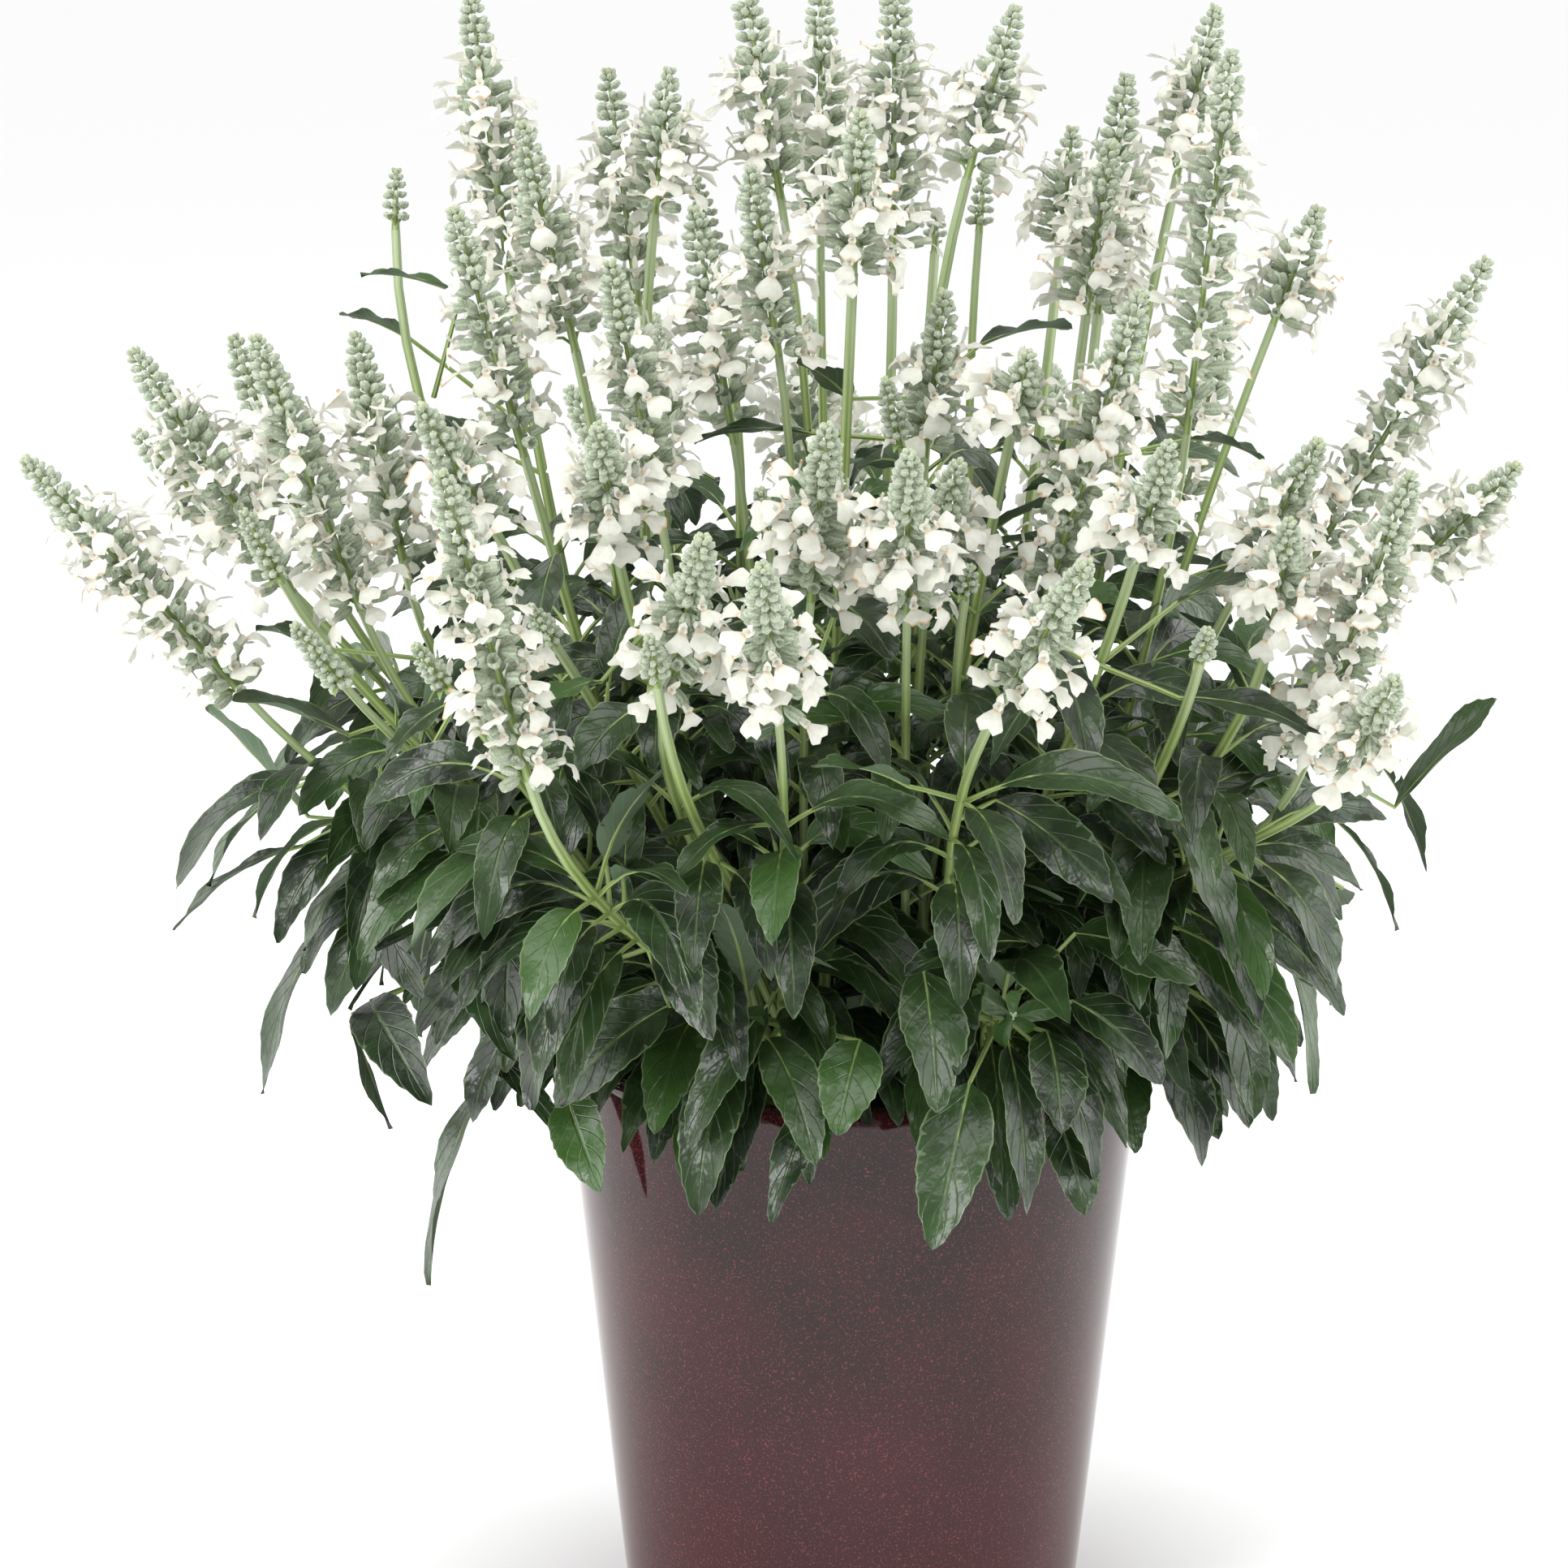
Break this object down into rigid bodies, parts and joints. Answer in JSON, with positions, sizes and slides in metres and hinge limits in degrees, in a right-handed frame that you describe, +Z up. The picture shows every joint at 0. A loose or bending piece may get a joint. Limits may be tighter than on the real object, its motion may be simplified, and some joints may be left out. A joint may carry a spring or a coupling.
{
  "type": "potted white salvia",
  "caption": "Perennial salvia with white flower spikes, felted grey-green calyces and dark leaves, growing in a tapered glazed pot that rests on its flat base.",
  "frame": {"origin": "centre of the pot's flat base", "axes": "+Z up along the pot's axis, -Y towards the plant's front as it was pictured, +X to the viewer's right"},
  "size_m": [0.6145, 0.5725, 0.7004],
  "materials": {
    "pot_glaze": "gloss",
    "potting_soil": "matte",
    "flower_heads": "matte",
    "foliage": "satin"
  },
  "bodies": {
    "root": {"pot": "pot_glaze", "soil": "potting_soil", "head_01": "flower_heads", "head_02": "flower_heads", "head_03": "flower_heads", "head_04": "flower_heads", "head_05": "flower_heads", "head_06": "flower_heads", "head_07": "flower_heads", "head_08": "flower_heads", "head_09": "flower_heads", "head_10": "flower_heads", "head_11": "flower_heads", "head_12": "flower_heads", "head_13": "flower_heads", "head_14": "flower_heads", "head_15": "flower_heads", "head_16": "flower_heads", "head_17": "flower_heads", "head_18": "flower_heads", "head_19": "flower_heads", "head_20": "flower_heads", "head_21": "flower_heads", "head_22": "flower_heads", "head_23": "flower_heads", "head_24": "flower_heads", "head_25": "flower_heads", "head_26": "flower_heads", "head_27": "flower_heads", "head_28": "flower_heads", "head_29": "flower_heads", "head_30": "flower_heads", "head_31": "flower_heads", "head_32": "flower_heads", "head_33": "flower_heads", "head_34": "flower_heads", "head_35": "flower_heads", "head_36": "flower_heads", "head_37": "flower_heads", "head_38": "flower_heads", "head_39": "flower_heads", "head_40": "flower_heads", "head_41": "flower_heads", "head_42": "flower_heads", "head_43": "flower_heads", "head_44": "flower_heads", "leafy_stems_01": "foliage", "leafy_stems_02": "foliage", "leafy_stems_03": "foliage", "leafy_stems_04": "foliage", "leafy_stems_05": "foliage", "leafy_stems_06": "foliage", "leafy_stems_07": "foliage", "leafy_stems_08": "foliage", "leafy_stems_09": "foliage", "leafy_stems_10": "foliage", "leafy_stems_11": "foliage", "leafy_stems_12": "foliage"}
  },
  "joints": []
}
